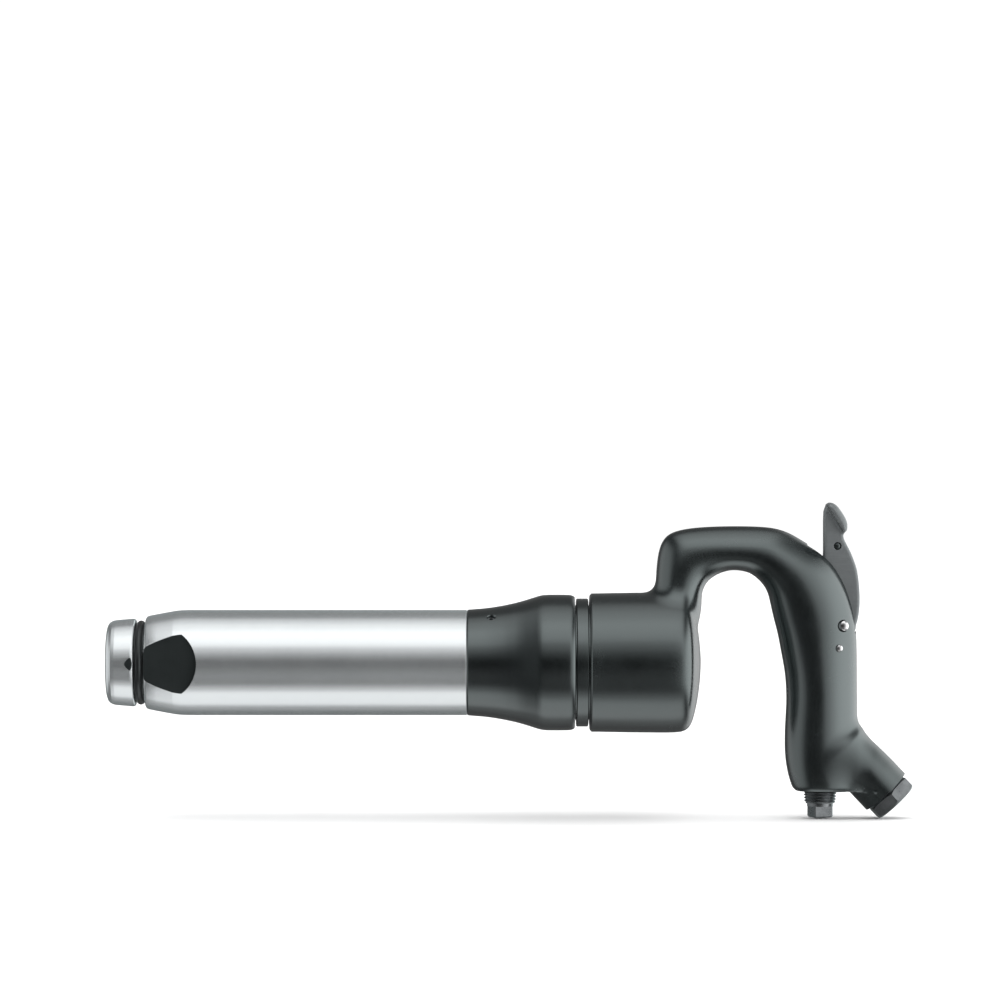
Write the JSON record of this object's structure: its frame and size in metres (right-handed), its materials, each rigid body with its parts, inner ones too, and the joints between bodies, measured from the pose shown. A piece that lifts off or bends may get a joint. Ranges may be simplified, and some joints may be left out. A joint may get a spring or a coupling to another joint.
{
  "type": "pneumatic riveting hammer",
  "caption": "Heavy air-driven riveting hammer: straight bright barrel, flared black valve chest, gooseneck handle with an outside thumb lever and a bottom air inlet.",
  "frame": {"origin": "centre of the rivet-set bore on the nose's front face", "axes": "+X along the barrel from the nose to the grip, +Z from the barrel axis up to the handle's arch, XZ is the plane of symmetry"},
  "size_m": [0.4425, 0.077, 0.1735],
  "materials": {
    "ground_steel": "ground and finely brushed round the axis, blackened wrench flats",
    "black_oxide": "satin black oxide",
    "black_casting": "satin black over a smooth cast surface",
    "lever_steel": "dark grey satin",
    "dark_steel": "dark phosphated steel",
    "tool_steel": "hardened and ground",
    "bright_pin": "bright",
    "spring_steel": "bright drawn",
    "brass_mesh": "dull",
    "rubber": "matt"
  },
  "bodies": {
    "tool": {"barrel": "ground_steel", "valve_chest": "black_oxide", "chest_set_screw": "dark_steel", "chest_seal_ring": "rubber", "lock_ring": "black_oxide", "retainer_ring": "rubber", "handle": "black_casting", "valve_seat_plate": "tool_steel", "valve_cage": "tool_steel", "valve_cap": "tool_steel", "valve_box_washer": "tool_steel", "dowel_pins": "tool_steel", "lever_pivot_pin": "bright_pin", "bushing_retaining_pin": "bright_pin", "throttle_valve_bushing": "tool_steel", "bottom_plug": "dark_steel", "inlet_bushing": "dark_steel", "inlet_strainer": "brass_mesh", "throttle_spring": "spring_steel"},
    "lever": {"throttle_lever": "lever_steel"},
    "throttle": {"throttle_valve": "tool_steel", "throttle_valve_seal": "rubber"},
    "hammer_piston": {"piston": "tool_steel"},
    "distributing_valve": {"main_valve": "tool_steel"}
  },
  "joints": [
    {"name": "lever_hinge", "type": "hinge", "parent": "tool", "child": "lever", "pos_m": [0.40359, 0, 0.02046], "axis": [0, -1, 0], "range_deg": [0, 10], "stiffness_Nm_per_rad": 0.22, "springref_deg": -28.65},
    {"name": "throttle_valve_slide", "type": "slide", "parent": "tool", "child": "throttle", "axis": [0, 0, -1], "range_m": [0, 0.0025], "deforming": ["throttle_spring"]},
    {"name": "piston_slide", "type": "slide", "parent": "tool", "child": "hammer_piston", "axis": [-1, 0, 0], "range_m": [0, 0.12]},
    {"name": "main_valve_slide", "type": "slide", "parent": "tool", "child": "distributing_valve", "axis": [1, 0, 0], "range_m": [-0.0021, 0.0041]}
  ],
  "couplings": [
    {"joint": "throttle_valve_slide", "follows": "lever_hinge", "m_per_rad": 0.012}
  ]
}
